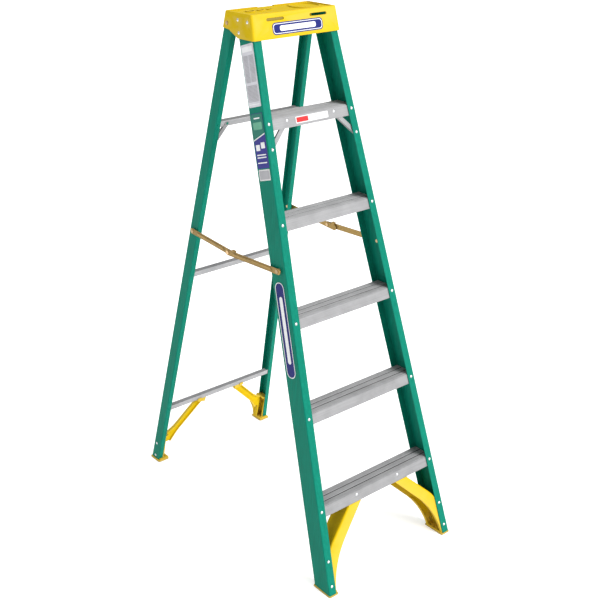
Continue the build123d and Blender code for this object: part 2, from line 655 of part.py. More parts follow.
def rear_bar_rivet_places(name):
    """One rivet at the right-hand end of a rear bar."""
    top = rear_up(BAR_TOPS_Z[name], REAR_WEB - REAR_WALL)
    up = top - BAR_LIP / 2
    return ((rear_half(up) - REAR_FLANGE / 2, -REAR_WEB, up), (0, 1, 0))


def rear_strut_ends():
    """The two ends of the strut under the top rear bar."""
    top = rear_up(BAR_TOPS_Z["top"], REAR_WEB - REAR_WALL) - BAR_LIP / 2
    return (REAR_STRUT_BAR_X, top), (REAR_STRUT_RAIL_X, top - REAR_STRUT_DROP)


def rear_strut():
    """Strut from the face of the top rear bar, stepped back to run behind the right rail's flange."""
    top, foot = rear_strut_ends()
    run, place = strut_place(top, foot)
    outer = place * SlotCenterToCenter(run, STRUT_WIDTH)
    tip = rear_half(foot[1]) - REAR_FLANGE
    lap = -REAR_INNER_FACE - HAIR_GAP
    inside = -REAR_INNER_FACE + HAIR_GAP
    near = Pos(tip - 2 - FAR / 2, top[1]) * Rectangle(FAR, FAR)
    far = Pos(tip - 7 + FAR / 2, top[1]) * Rectangle(FAR, FAR)
    strut = slab(outer & near, lap - REAR_STRUT_WALL, lap)
    strut += slab(outer & far, inside, inside + REAR_STRUT_WALL)
    strut += slab(outer & near & far, lap - REAR_STRUT_WALL, inside + REAR_STRUT_WALL)
    under_bar = Pos(tip - 7 - FAR / 2, top[1] - BAR_LIP / 2 - 1 - FAR / 2) * Rectangle(FAR, FAR)
    sides = place * strut_sides(run, REAR_STRUT_WALL)
    return strut + slab(sides & under_bar, lap - REAR_STRUT_WALL, -REAR_INNER_FACE + REAR_STRUT_DEPTH)


def rear_strut_rivet_places():
    """Rivets of the right rear strut and the thickness that each holds."""
    top, foot = rear_strut_ends()
    lap = REAR_STRUT_WALL + HAIR_GAP
    bar = ((top[0], -REAR_INNER_FACE - lap, top[1]), lap + BAR_WALL)
    return [bar, ((foot[0], -REAR_WEB, foot[1]), REAR_LINING + lap)]


# ---------------------------------------------------------------- top cap
def cap_block(inset, z0, z1, rear_corner):
    """The cap's outer form between two heights, taken in by inset on all four sides."""
    faces = []
    for z in (z0, z1):
        rise = (z - CAP_BOTTOM_Z) / (CAP_TOP_Z - CAP_BOTTOM_Z)
        front = CAP_FRONT_BOTTOM_Y + rise * (CAP_FRONT_TOP_Y - CAP_FRONT_BOTTOM_Y) + inset
        back = CAP_REAR_BOTTOM_Y + rise * (CAP_REAR_TOP_Y - CAP_REAR_BOTTOM_Y) - inset
        half = cap_half(z) - inset
        face = Rectangle(2 * half, back - front)
        by_depth = face.vertices().group_by(Axis.Y)
        face = fillet(by_depth[0], max(CAP_FRONT_CORNER - inset, 3.0))
        face = fillet(face.vertices().group_by(Axis.Y)[-1], rear_corner)
        faces.append(Pos(0, (front + back) / 2, z) * face)
    return loft(faces)


def cap_skirt_relief():
    """Space cut from under the rear of the sides, where the rear rails swing."""
    (y0, z0), (y1, z1), (y2, z2) = CAP_RELIEF
    low = CAP_BOTTOM_Z - CAP_RIB_DROP
    clear = y2 + CAP_RIB_DROP
    return profile_bar([(y0 - 1, low), (y0 - 1, z0 - 1), (y0, z0), (y1, z1), (y2, z2),
                        (clear, z2), (clear, low)], 2 * CAP_HALF_BOTTOM)


def cap_tools(cap):
    """Tray, tool holes, bucket ring, slots and the notch in the rear rim."""
    floor = CAP_TOP_Z - CAP_TRAY_DEPTH
    cap -= cap_block(CAP_RIM, floor, CAP_TOP_Z + 1, CAP_INNER_CORNER)
    inner = Cylinder(BUCKET_RING_R - TRAY_RING_WALL, CAP_TRAY_DEPTH)
    ring = Cylinder(BUCKET_RING_R, CAP_TRAY_DEPTH) - inner
    cap += Pos(BUCKET_RING_X, BUCKET_RING_Y, CAP_TOP_Z - CAP_TRAY_DEPTH / 2) * ring
    for x, y, radius in TOOL_HOLES:
        collar = Cylinder(radius + TRAY_RING_WALL, CAP_TRAY_DEPTH) - Cylinder(radius, CAP_TRAY_DEPTH)
        cap += Pos(x, y, CAP_TOP_Z - CAP_TRAY_DEPTH / 2) * collar
        cap -= Pos(x, y, CAP_TOP_Z - 5) * Cylinder(radius, 12)
    rise = (CAP_SLOT_Z - CAP_BOTTOM_Z) / (CAP_TOP_Z - CAP_BOTTOM_Z)
    front = CAP_FRONT_BOTTOM_Y + rise * (CAP_FRONT_TOP_Y - CAP_FRONT_BOTTOM_Y)
    for x, length, depth in CAP_SLOTS:
        slot = extrude(Rot(90, 0, 0) * SlotOverall(length, CAP_SLOT_HEIGHT), depth, both=True)
        cap -= Pos(x, front, CAP_SLOT_Z) * slot
    x0, x1 = REAR_NOTCH_X
    notch = Pos((x0 + x1) / 2, CAP_REAR_TOP_Y, CAP_TOP_Z) * Box(x1 - x0, 24, REAR_NOTCH_DEPTH)
    return cap - notch


def cap_rivet_places():
    """Rivets through the right side of the cap into the front rail."""
    places = []
    for y, z in CAP_RIVETS:
        places.append(((cap_half(z), y, z), (-1, 0, -0.066)))
    return places


def top_cap():
    """Moulded cap: a shell open below, with bosses, cross ribs and the rear pivots' holes."""
    cap = cap_block(0.0, CAP_BOTTOM_Z, CAP_TOP_Z, CAP_REAR_CORNER)
    cap = fillet(cap.edges().group_by(Axis.Z)[-1], CAP_TOP_ROUND)
    ceiling = CAP_TOP_Z - CAP_TRAY_DEPTH - CAP_WALL
    cavity = cap_block(CAP_WALL, CAP_BOTTOM_Z - 1, ceiling, CAP_INNER_CORNER)
    cap -= cavity
    cap -= cap_skirt_relief()
    rib_y = (CAP_FRONT_TOP_Y + CAP_REAR_TOP_Y) / 2
    for x in CAP_RIBS_X:
        rib = Pos(x, rib_y, ceiling - CAP_RIB_DROP / 2) * Box(CAP_RIB_WALL, FAR, CAP_RIB_DROP)
        cap += rib & cavity
    bosses = Part()
    boss = Pos(0, 0, (CAP_WALL + CAP_BOSS_LENGTH) / 2) * Cylinder(CAP_BOSS_R, CAP_WALL + CAP_BOSS_LENGTH)
    for point, inward in cap_rivet_places():
        bosses += Plane(origin=point, z_dir=inward).location * boss
    y, z = FOLD_PIVOT
    bosses += across(WASHER_R + 1, PIVOT_BOSS_X, cap_half(z) - 1.0, y, z)
    bosses &= cap_block(1.0, CAP_BOTTOM_Z - 2, CAP_TOP_Z, CAP_REAR_CORNER)
    bosses -= FRONT * front_rail()
    cap = cap_tools(cap + bosses + mirrored(bosses))
    holes = Part()
    for point, inward in cap_rivet_places():
        holes += rivet_hole(point, inward, CAP_WALL + 6)
    holes += right_bore(PIN_R + PIN_PLAY, FOLD_PIVOT)
    return cap - holes - mirrored(holes)


# ---------------------------------------------------------------- pivots and spreaders
def pivot_pin(x_in, x_out, y, z, head_r):
    """A pin along X with a domed head outside and a flat one inside."""
    shank = across(PIN_R, x_in, x_out, y, z)
    blank = Pos(0, 0, 1.25) * Cylinder(head_r, 2.5)
    blank = fillet(blank.edges().group_by(Axis.Z)[-1], 1.6)
    head = Pos(x_out, y, z) * (Rot(0, 90, 0) * blank)
    tail = across(PIN_TAIL_R, x_in - PIN_TAIL_LENGTH, x_in, y, z)
    return shank + head + tail


def arm(pivot, x_face, tail, nose):
    """A strip from a pivot to the elbow in the plane that starts at x_face, holes at both."""
    elbow = SPREADER_ELBOW
    run = math.hypot(elbow[0] - pivot[0], elbow[1] - pivot[1])
    slope = math.degrees(math.atan2(elbow[1] - pivot[1], elbow[0] - pivot[0]))
    length = tail + run + nose
    middle = (run + nose - tail) / 2
    strip = extrude(Pos(middle, 0) * SlotOverall(length, ARM_HEIGHT), ARM_THICK)
    bead = extrude(Pos(run / 2, 0) * SlotOverall(run - ARM_BEAD_CLEAR, ARM_BEAD_WIDTH), ARM_BEAD)
    strip += Pos(0, 0, ARM_THICK) * bead
    strip -= Cylinder(PIN_R + PIN_PLAY, 20)
    strip -= Pos(run, 0) * Cylinder(PIN_R + PIN_PLAY, 20)
    along = (0, math.cos(math.radians(slope)), math.sin(math.radians(slope)))
    plane = Plane(origin=(x_face, pivot[0], pivot[1]), x_dir=along, z_dir=(1, 0, 0))
    return plane.location, strip, run


def spreader_front_arm():
    """Right front arm, pivoted on the front rail."""
    place, strip, _ = arm(SPREADER_FRONT_PIVOT, FRONT_ARM_X, ARM_TAIL, FRONT_ARM_NOSE)
    return place * strip


def spreader_rear_arm():
    """Right rear arm, pivoted on the rear rail; its nose carries a stop over the front arm."""
    place, strip, run = arm(SPREADER_REAR_PIVOT, REAR_ARM_X, REAR_ARM_TAIL, REAR_ARM_NOSE)
    wide = FRONT_ARM_X + ARM_THICK + STOP_TAB_PROUD - REAR_ARM_X
    nose_x = run + REAR_ARM_NOSE - ARM_HEIGHT / 2 - STOP_TAB_LENGTH / 2
    web_tall = STOP_TAB_LIFT + STOP_TAB_WALL + 1.0
    web = Pos(nose_x, -ARM_HEIGHT / 2 + 1.0 - web_tall / 2, ARM_THICK / 2)
    web *= Box(STOP_TAB_LENGTH, web_tall, ARM_THICK)
    shelf_y = -ARM_HEIGHT / 2 - STOP_TAB_LIFT - STOP_TAB_WALL / 2
    shelf = Pos(nose_x, shelf_y, wide / 2) * Box(STOP_TAB_LENGTH, STOP_TAB_WALL, wide)
    return place * (strip + web + shelf)


def arm_pin(side_half, pivot, arm_x, rail):
    """Pin and spacing bush that carry one arm on a rail's web."""
    y, z = pivot
    inner = side_half - RAIL_WALL - 0.7
    pin = pivot_pin(inner, arm_x + ARM_THICK + ARM_PLAY, y, z, ARM_PIN_HEAD_R)
    bush = across(BUSH_R, side_half - 1.5, arm_x - ARM_PLAY, y, z)
    bush -= right_bore(PIN_R + HAIR_GAP / 2, pivot)
    return pin, bush - rail


def elbow_halves():
    """The elbow rivet in two halves, one on each arm, so that each arm can be carried alone."""
    y, z = SPREADER_ELBOW
    tail_r, tail_h = ELBOW_TAIL
    head_r, head_h = ELBOW_HEAD
    outer_face = FRONT_ARM_X + ARM_THICK
    rear = across(PIN_R, REAR_ARM_X, FRONT_ARM_X - ELBOW_SPLIT, y, z)
    rear += across(tail_r, REAR_ARM_X - tail_h, REAR_ARM_X, y, z)
    front = across(PIN_R, FRONT_ARM_X - HAIR_GAP, outer_face, y, z)
    front += across(head_r, outer_face, outer_face + head_h, y, z)
    return front, rear


# ---------------------------------------------------------------- labels
def web_label(depth, up, wide, tall, corner):
    """A thin plate on the outside of the left front rail's web."""
    plate = extrude(RectangleRounded(wide, tall, corner), LABEL_THICK)
    normal = (-1, 0, FRONT_NARROWING)
    place = Plane(origin=(-front_half(up), depth, up), x_dir=(0, 1, 0), z_dir=normal)
    return FRONT * (place.location * plate)


def front_label(place, shape):
    """A thin plate that lies on the given plane and faces the climber."""
    wide, tall, corner = shape
    plate = extrude(RectangleRounded(wide, tall, corner), LABEL_THICK)
    return place.location * plate


def make_labels():
    """Plain label plates: none carries any lettering."""
    for name, shape in RAIL_LABELS.items():
        add(name, web_label(*shape))
    origin = (FRONT_LABELS_X, PLATE_OUT, front_up(STEP_LABEL_Z, PLATE_OUT))
    face = Plane(origin=origin, x_dir=(1, 0, 0), z_dir=(0, -1, 0))
    add("step_label", FRONT * front_label(face, STEP_LABEL))
    drop = math.atan2(CAP_FRONT_TOP_Y - CAP_FRONT_BOTTOM_Y, CAP_TOP_Z - CAP_BOTTOM_Z)
    y = CAP_FRONT_BOTTOM_Y + (CAP_DECAL_Z - CAP_BOTTOM_Z) * math.tan(drop)
    normal = (0, -math.cos(drop), math.sin(drop))
    face = Plane(origin=(FRONT_LABELS_X, y, CAP_DECAL_Z), x_dir=(1, 0, 0), z_dir=normal)
    add("cap_decal", front_label(face, CAP_DECAL))


# ---------------------------------------------------------------- build
def make_front_frame():
    """Rails, steps, struts, feet and their rivets."""
    rail = front_rail()
    flange_rivets = front_flange_rivets()
    foot_rivets = front_foot_rivet_places()
    strut_rivets = front_strut_rivet_places()
    for point, inward in flange_rivets + foot_rivets:
        rail -= rivet_hole(point, inward, RAIL_WALL)
    rail -= rivet_hole(strut_rivets[1][0], (0, 1, 0), RAIL_WALL)
    rail = FRONT * rail
    rail -= below(FRONT_SOLE)
    rail -= Pos(0, 0, CAP_TOP_Z - CAP_TRAY_DEPTH - CAP_WALL - 3.0 + FAR / 2) * Box(FAR, FAR, FAR)
    for point, inward in cap_rivet_places():
        rail -= rivet_hole(point, inward, CAP_WALL + 8)
    rail -= right_bore(PIN_R + HAIR_GAP / 2, SPREADER_FRONT_PIVOT)
    add_pair("front_rail", rail)

    step_rivets = Part()
    for point, inward in flange_rivets:
        step_rivets += FRONT * rivet(point, inward, STEP_GRIP)
    add("step_rivets", step_rivets, mirrored(step_rivets))
    for index in range(STEP_COUNT):
        tread = step(index)
        holes = Part()
        for point, inward in flange_rivets[2 * index:2 * index + 2]:
            holes += FRONT * rivet_hole(point, inward, STEP_GRIP)
        if index == 0:
            up = front_up(FOOT_SKIRT_RIVET[1], PLATE_OUT)
            holes += FRONT * rivet_hole((FOOT_SKIRT_RIVET[0], PLATE_OUT, up), (0, 1, 0), STEP_WALL)
        if index == STEP_COUNT - 1:
            holes += FRONT * rivet_hole(strut_rivets[0][0], (0, 1, 0), STEP_WALL)
        add("step_%d" % (index + 1), tread - holes - mirrored(holes))

    strut = front_strut()
    rivets = Part()
    for point, grip in strut_rivets:
        strut -= rivet_hole(point, (0, 1, 0), grip)
        rivets += FRONT * rivet(point, (0, 1, 0), grip)
    add_pair("top_step_brace", FRONT * strut)
    add("top_step_brace_rivets", rivets, mirrored(rivets))

    add_pair("front_foot", front_foot())
    add_pair("front_sole", sole(FRONT_SOLE_X, FRONT_SOLE_Y, FRONT_SOLE))
    rivets = Part()
    for point, inward in foot_rivets:
        rivets += FRONT * rivet(point, inward, PLATE_IN)
    up = front_up(FOOT_SKIRT_RIVET[1], PLATE_OUT)
    rivets += FRONT * rivet((FOOT_SKIRT_RIVET[0], PLATE_OUT, up), (0, 1, 0), PLATE_IN - PLATE_OUT)
    add("front_foot_rivets", rivets, mirrored(rivets))


def make_cap():
    """Cap, the rivets into the front rails, and the rear frame's pivots."""
    add("top_cap", top_cap())
    rivets = Part()
    for point, inward in cap_rivet_places():
        rivets += rivet(point, inward, CAP_GRIP)
    add("top_cap_rivets", rivets, mirrored(rivets))
    y, z = FOLD_PIVOT
    web = rear_half(rear_up(z, 21.3))
    pin = pivot_pin(web - REAR_WALL - 0.9, cap_half(z - 8.0) + 0.05, y, z, FOLD_HEAD_R)
    add("fold_pivot_pins", pin, mirrored(pin))
    washer = across(WASHER_R, PIVOT_BOSS_X - WASHER_THICK, PIVOT_BOSS_X - HAIR_GAP / 2, y, z)
    washer -= right_bore(PIN_R + HAIR_GAP / 2, FOLD_PIVOT)
    add("fold_pivot_washers", washer, mirrored(washer))


def make_rear_frame():
    """Rear rails with rounded tops, bars, struts, feet and their rivets."""
    rail = rear_rail()
    bar_rivets = [rear_bar_rivet_places(name) for name in BAR_TOPS_Z]
    for point, inward in bar_rivets:
        rail -= rivet_hole(point, inward, REAR_WALL)
    strut_rivets = rear_strut_rivet_places()
    rail -= rivet_hole(strut_rivets[1][0], (0, 1, 0), strut_rivets[1][1])
    for point, inward in rear_foot_rivet_places():
        rail -= rivet_hole(point, inward, REAR_WALL)
    rail = REAR * rail
    round_top = right_bore(REAR_WEB / 2 - 0.3, FOLD_PIVOT)
    pivot_up = rear_up(FOLD_PIVOT[1], REAR_WEB / 2)
    head = REAR * (Pos(0, 0, pivot_up + FAR / 2) * Box(FAR, FAR, FAR))
    rail -= head - round_top
    rail -= below(REAR_SOLE)
    rail -= right_bore(PIN_R + PIN_PLAY, FOLD_PIVOT)
    rail -= right_bore(PIN_R + HAIR_GAP / 2, SPREADER_REAR_PIVOT)
    add_pair("rear_rail", rail)

    for name in BAR_TOPS_Z:
        bar = rear_bar(name)
        point, inward = rear_bar_rivet_places(name)
        holes = rivet_hole(point, inward, REAR_LINING + BAR_WALL)
        if name == "top":
            holes += rivet_hole(strut_rivets[0][0], (0, 1, 0), strut_rivets[0][1])
        add("rear_bar_" + name, REAR * (bar - holes - mirrored(holes)))
    rivets = Part()
    for point, inward in bar_rivets:
        rivets += REAR * rivet(point, inward, REAR_LINING + BAR_WALL, head_r=SMALL_HEAD_R)
    add("rear_bar_rivets", rivets, mirrored(rivets))

    strut = rear_strut()
    rivets = Part()
    for point, grip in strut_rivets:
        strut -= rivet_hole(point, (0, 1, 0), grip)
        rivets += REAR * rivet(point, (0, 1, 0), grip, head_r=SMALL_HEAD_R)
    add_pair("rear_top_brace", REAR * strut)
    add("rear_top_brace_rivets", rivets, mirrored(rivets))

    add_pair("rear_foot", rear_foot())
    add_pair("rear_sole", sole(REAR_SOLE_X, REAR_SOLE_Y, REAR_SOLE))
    rivets = Part()
    for point, inward in rear_foot_rivet_places():
        rivets += REAR * rivet(point, inward, REAR_LINING + FOOT_WALL)
    add("rear_foot_rivets", rivets, mirrored(rivets))


def make_spreaders():
    """Four arms, the pins and bushes that carry them, and the halves of the elbow rivets."""
    front_web = front_half(SPREADER_FRONT_PIVOT[0] * SIN_F + SPREADER_FRONT_PIVOT[1] * COS_F)
    back = REAR_FACE_Y - SPREADER_REAR_PIVOT[0]
    rear_web = rear_half(back * SIN_R + SPREADER_REAR_PIVOT[1] * COS_R)
    pin, bush = arm_pin(front_web, SPREADER_FRONT_PIVOT, FRONT_ARM_X, FRONT * front_rail())
    add("spreader_front_pins", pin, mirrored(pin))
    add("spreader_front_bushes", bush, mirrored(bush))
    pin, bush = arm_pin(rear_web, SPREADER_REAR_PIVOT, REAR_ARM_X, REAR * rear_rail())
    add("spreader_rear_pins", pin, mirrored(pin))
    add("spreader_rear_bushes", bush, mirrored(bush))
    front_half_rivet, rear_half_rivet = elbow_halves()
    add_pair("spreader_front_arm", spreader_front_arm())
    add_pair("spreader_rear_arm", spreader_rear_arm())
    add_pair("elbow_rivet_front", front_half_rivet)
    add_pair("elbow_rivet_rear", rear_half_rivet)


make_front_frame()
make_cap()
make_rear_frame()
make_spreaders()
make_labels()

os.makedirs("parts", exist_ok=True)
shift = Pos(0, -ORIGIN_Y, 0)
for name, pieces in nodes.items():
    export_step(Compound(children=[shift * piece for piece in pieces]), "parts/%s.step" % name)
print(len(nodes), "nodes, origin y", ORIGIN_Y)
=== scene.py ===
"""Looks for the folding step ladder: materials, tread ribs, label art, floor, light and camera."""

import json
import math

import bmesh
import bpy
from mathutils import Matrix, Vector


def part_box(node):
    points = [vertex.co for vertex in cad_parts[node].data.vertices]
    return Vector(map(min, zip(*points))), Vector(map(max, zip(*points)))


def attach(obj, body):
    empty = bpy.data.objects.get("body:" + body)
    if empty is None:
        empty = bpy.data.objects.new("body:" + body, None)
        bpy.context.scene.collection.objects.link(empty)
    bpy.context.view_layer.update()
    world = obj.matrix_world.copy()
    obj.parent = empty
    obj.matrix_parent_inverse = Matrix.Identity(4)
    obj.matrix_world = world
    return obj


# Camera, in metres and degrees, in the row frame
CAMERA_PLACE = (-2.00487, -2.48444, 2.19276)
CAMERA_YAW = 39.523
CAMERA_PITCH = -23.844
CAMERA_LENS = 61.23
CAMERA_SENSOR = 36.0

# Ladder lines that the pieces follow
FRONT_LEAN = math.radians(16.633)
FRONT_NARROWING = 0.0640
CAP_FRONT_NORMAL = (0.0, -0.974, 0.224)

# Treads: fine ribs on raised bands, with grooves between the bands
STEP_COUNT = 5
TREAD_END_GAP = 0.001
TREAD_FLAT = 0.00015
RIB_PITCH = 0.0031
RIB_HEIGHT = 0.0011
RIB_SINK = 0.0003
BAND_COUNT = 3
BAND_GROOVE = 0.0040
BAND_SLOPE = 0.0005
BAND_HEIGHT = 0.0009
# Groove floors carry thin near-black sheets of painted shade, inset by the margin and standing a film's
# height above the floor.
GROOVE_MARGIN = 0.0003
GROOVE_FILM = 0.0001

# Floor of the cap's shallow front slot, a sheet of painted shade: middle, length and height
SLOT_FLOOR_MIDDLE = (-0.079, -0.03123, 1.730)
SLOT_FLOOR_SIZE = (0.0655, 0.0080)

# Label plates
INK_LIFT = 0.00012
INK_THICK = 0.00012

# Floor and light: a sun is a direction towards it, a strength and an angle of spread in degrees
FLOOR_HALF = 30.0
FLOOR_GLOW = 0.3
SURROUND_STRENGTH = 0.60
KEY_SUN = ((0.30, -0.85, 0.50), 3.5, 35.0)
TOP_SUN = ((-0.15, 0.25, 1.0), 1.05, 60.0)

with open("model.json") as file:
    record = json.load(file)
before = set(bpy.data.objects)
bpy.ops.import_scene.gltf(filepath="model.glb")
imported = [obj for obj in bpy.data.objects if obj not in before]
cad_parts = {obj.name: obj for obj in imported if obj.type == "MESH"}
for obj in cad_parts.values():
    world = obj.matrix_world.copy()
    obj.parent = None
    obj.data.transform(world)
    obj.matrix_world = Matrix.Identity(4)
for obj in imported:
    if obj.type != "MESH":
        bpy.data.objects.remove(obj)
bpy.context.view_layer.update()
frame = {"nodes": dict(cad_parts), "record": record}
nodes = frame["nodes"]


# ---------------------------------------------------------------- node helpers
class Shader:
    """A new material with one Principled shader, and short ways to add nodes to it."""

    def __init__(self, name, roughness, metallic=0.0, **fixed):
        self.material = bpy.data.materials.new(name)
        self.material.use_nodes = True
        self.tree = self.material.node_tree
        self.base = self.tree.nodes["Principled BSDF"]
        self.base.inputs["Roughness"].default_value = roughness
        self.base.inputs["Metallic"].default_value = metallic
        for socket, value in fixed.items():
            self.base.inputs[socket.replace("_", " ")].default_value = value
        self.place = self.add("ShaderNodeTexCoord").outputs["Object"]

    def add(self, kind, **values):
        node = self.tree.nodes.new(kind)
        for key, value in values.items():
            setattr(node, key, value)
        return node

    def link(self, source, target):
        self.tree.links.new(source, target)

    def noise(self, scale, detail=4.0, stretch=(1, 1, 1), rough=0.55):
        """Noise in object space; a small stretch along an axis draws it out along that axis."""
        mapping = self.add("ShaderNodeMapping")
        mapping.inputs["Scale"].default_value = stretch
        self.link(self.place, mapping.inputs["Vector"])
        node = self.add("ShaderNodeTexNoise")
        node.inputs["Scale"].default_value = scale
        node.inputs["Detail"].default_value = detail
        node.inputs["Roughness"].default_value = rough
        self.link(mapping.outputs["Vector"], node.inputs["Vector"])
        return node.outputs["Fac"]

    def ramp(self, source, stops):
        """Colour stops [(position, colour), ...] read from a value."""
        node = self.add("ShaderNodeValToRGB")
        elements = node.color_ramp.elements
        while len(elements) < len(stops):
            elements.new(0.5)
        for element, (position, colour) in zip(elements, stops):
            element.position = position
            element.color = (*colour, 1.0)
        self.link(source, node.inputs["Fac"])
        return node.outputs["Color"]

    def map_range(self, source, low, high, to_low, to_high):
        node = self.add("ShaderNodeMapRange")
        sockets = ("From Min", "From Max", "To Min", "To Max")
        for socket, value in zip(sockets, (low, high, to_low, to_high)):
            node.inputs[socket].default_value = value
        self.link(source, node.inputs["Value"])
        return node.outputs["Result"]

    def mix(self, factor, first, second, mode="MIX"):
        node = self.add("ShaderNodeMix", data_type="RGBA", blend_type=mode)
        factor_socket, first_socket, second_socket = (node.inputs[index] for index in (0, 6, 7))
        for socket, value in ((factor_socket, factor), (first_socket, first), (second_socket, second)):
            if hasattr(value, "is_linked"):
                self.link(value, socket)
            elif isinstance(value, (int, float)):
                socket.default_value = value
            else:
                socket.default_value = (*value, 1.0)
        return node.outputs[2]

    def colour(self, source):
        self.link(source, self.base.inputs["Base Color"])

    def roughness(self, source):
        self.link(source, self.base.inputs["Roughness"])

    def bump(self, source, distance, strength=1.0, round_edges=0.0):
        """Fine relief; round_edges softens the corners of hard mouldings by that radius in metres."""
        node = self.add("ShaderNodeBump")
        node.inputs["Strength"].default_value = strength
        node.inputs["Distance"].default_value = distance
        self.link(source, node.inputs["Height"])
        if round_edges:
            bevel = self.add("ShaderNodeBevel", samples=4)
            bevel.inputs["Radius"].default_value = round_edges
            self.link(bevel.outputs["Normal"], node.inputs["Normal"])
        self.link(node.outputs["Normal"], self.base.inputs["Normal"])

    def facing_up(self):
        """0 on upright and downward faces, 1 on level ones that face up."""
        split = self.add("ShaderNodeSeparateXYZ")
        self.link(self.add("ShaderNodeNewGeometry").outputs["Normal"], split.inputs["Vector"])
        return self.map_range(split.outputs["Z"], 0.45, 0.85, 0.0, 1.0)

    def edge_wear(self):
        """1 on convex edges, 0.5 on flats."""
        return self.add("ShaderNodeNewGeometry").outputs["Pointiness"]


def shade(colour, factor):
    """A colour made lighter or darker."""
    return tuple(min(1.0, part * factor) for part in colour)


# ---------------------------------------------------------------- materials
def fibreglass():
    """Pultruded green glass fibre: drawn out along the rail, faint fibre print under a gloss skin."""
    green = (0.003, 0.178, 0.120)
    shader = Shader("fibreglass_green", 0.42, Specular_IOR_Level=0.05)
    drawn = shader.noise(240.0, 5.0, (1.0, 1.0, 0.03))
    cloud = shader.noise(9.0, 3.0)
    base = shader.ramp(drawn, [(0.30, shade(green, 0.86)), (0.52, green), (0.72, shade(green, 1.16))])
    soft = shader.ramp(cloud, [(0.3, (0.88, 0.88, 0.88)), (0.7, (1.0, 1.0, 1.0))])
    shader.colour(shader.mix(0.8, base, soft, "MULTIPLY"))
    shader.roughness(shader.map_range(drawn, 0.2, 0.8, 0.30, 0.50))
    shader.bump(drawn, 0.00012, 0.5, 0.0009)
    return shader.material


def moulded_plastic(name, colour, grain, roughness, speck=0.0):
    """Moulded plastic with a fine spark-eroded grain and slightly rubbed edges."""
    shader = Shader(name, roughness, Specular_IOR_Level=0.05)
    grainy = shader.noise(grain, 3.0, rough=0.6)
    cloud = shader.noise(14.0, 3.0)
    base = shader.ramp(cloud, [(0.3, shade(colour, 0.93)), (0.7, shade(colour, 1.04))])
    worn = shader.ramp(shader.edge_wear(), [(0.50, (0.0, 0.0, 0.0)), (0.58, (1.0, 1.0, 1.0))])
    pale = tuple(part * 0.75 + 0.2 for part in colour)
    rubbed = shader.mix(worn, base, pale)
    shader.colour(shader.mix(speck, base, rubbed))
    shader.roughness(shader.map_range(grainy, 0.3, 0.7, roughness - 0.06, roughness + 0.08))
    shader.bump(grainy, 0.00018, 0.45, 0.0014)
    return shader.material


def rubber(colour):
    """Dull ribbed sole rubber, dusty near the floor."""
    shader = Shader("sole_rubber", 0.75)
    dust = shader.noise(160.0, 4.0)
    height = shader.add("ShaderNodeSeparateXYZ")
    shader.link(shader.place, height.inputs["Vector"])
    near_floor = shader.map_range(height.outputs["Z"], 0.0, 0.006, 1.0, 0.0)
    base = shader.ramp(dust, [(0.3, shade(colour, 0.75)), (0.7, colour)])
    shader.colour(shader.mix(near_floor, base, (0.32, 0.26, 0.10)))
    shader.bump(dust, 0.0002, 0.5)
    return shader.material


def extruded_aluminium(name, colour, roughness, painted_top_shade=1.0):
    """Mill-finish aluminium, dulled by oxide, with draw lines along its length (across the ladder); a top
    shade below 1 darkens the faces that face up, as painted shade.
    """
    shader = Shader(name, roughness, 0.40, Specular_IOR_Level=0.15)
    lines = shader.noise(900.0, 3.0, (0.006, 1.0, 1.0))
    stain = shader.noise(22.0, 4.0)
    base = shader.ramp(lines, [(0.25, shade(colour, 0.80)), (0.75, shade(colour, 1.08))])
    soft = shader.ramp(stain, [(0.3, (0.86, 0.86, 0.86)), (0.65, (1.0, 1.0, 1.0))])
    metal = shader.mix(1.0, base, soft, "MULTIPLY")
    # Painted shade: faces that face up are multiplied by the top shade.
    if painted_top_shade != 1.0:
        shaded_top = shader.mix(1.0, metal, (painted_top_shade, painted_top_shade, painted_top_shade), "MULTIPLY")
        metal = shader.mix(shader.facing_up(), metal, shaded_top)
    shader.colour(metal)
    shader.roughness(shader.map_range(lines, 0.2, 0.8, roughness - 0.08, roughness + 0.12))
    shader.bump(lines, 0.00008, 0.5)
    return shader.material


def plated_steel(name, colour, roughness):
    """Yellow zinc plate: clouded gold, scuffed brighter on its edges."""
    shader = Shader(name, roughness, 0.75)
    cloud = shader.noise(38.0, 4.0)
    fine = shader.noise(420.0, 3.0)
    base = shader.ramp(cloud, [(0.3, shade(colour, 0.65)), (0.55, colour), (0.75, shade(colour, 1.35))])
    worn = shader.ramp(shader.edge_wear(), [(0.51, (0.0, 0.0, 0.0)), (0.60, (1.0, 1.0, 1.0))])
    shader.colour(shader.mix(worn, base, shade(colour, 1.7)))
    shader.roughness(shader.map_range(fine, 0.3, 0.7, roughness - 0.1, roughness + 0.1))
    shader.bump(fine, 0.00008, 0.4)
    return shader.material


def bright_rivet():
    """Turned-over aluminium rivets."""
    shader = Shader("rivet_bright", 0.28, 1.0)
    marks = shader.noise(700.0, 3.0)
    shader.colour(shader.ramp(marks, [(0.3, (0.50, 0.52, 0.53)), (0.7, (0.74, 0.75, 0.76))]))
    shader.roughness(shader.map_range(marks, 0.3, 0.7, 0.22, 0.40))
    shader.bump(marks, 0.0001, 0.4)
    return shader.material


def vinyl(name, colour, roughness=0.4):
    """Printed vinyl film."""
    shader = Shader(name, roughness, Specular_IOR_Level=0.12)
    fine = shader.noise(600.0, 2.0)
    cloud = shader.noise(30.0, 2.0)
    shader.colour(shader.ramp(cloud, [(0.3, shade(colour, 0.92)), (0.7, shade(colour, 1.05))]))
    shader.bump(fine, 0.00005, 0.3)
    return shader.material


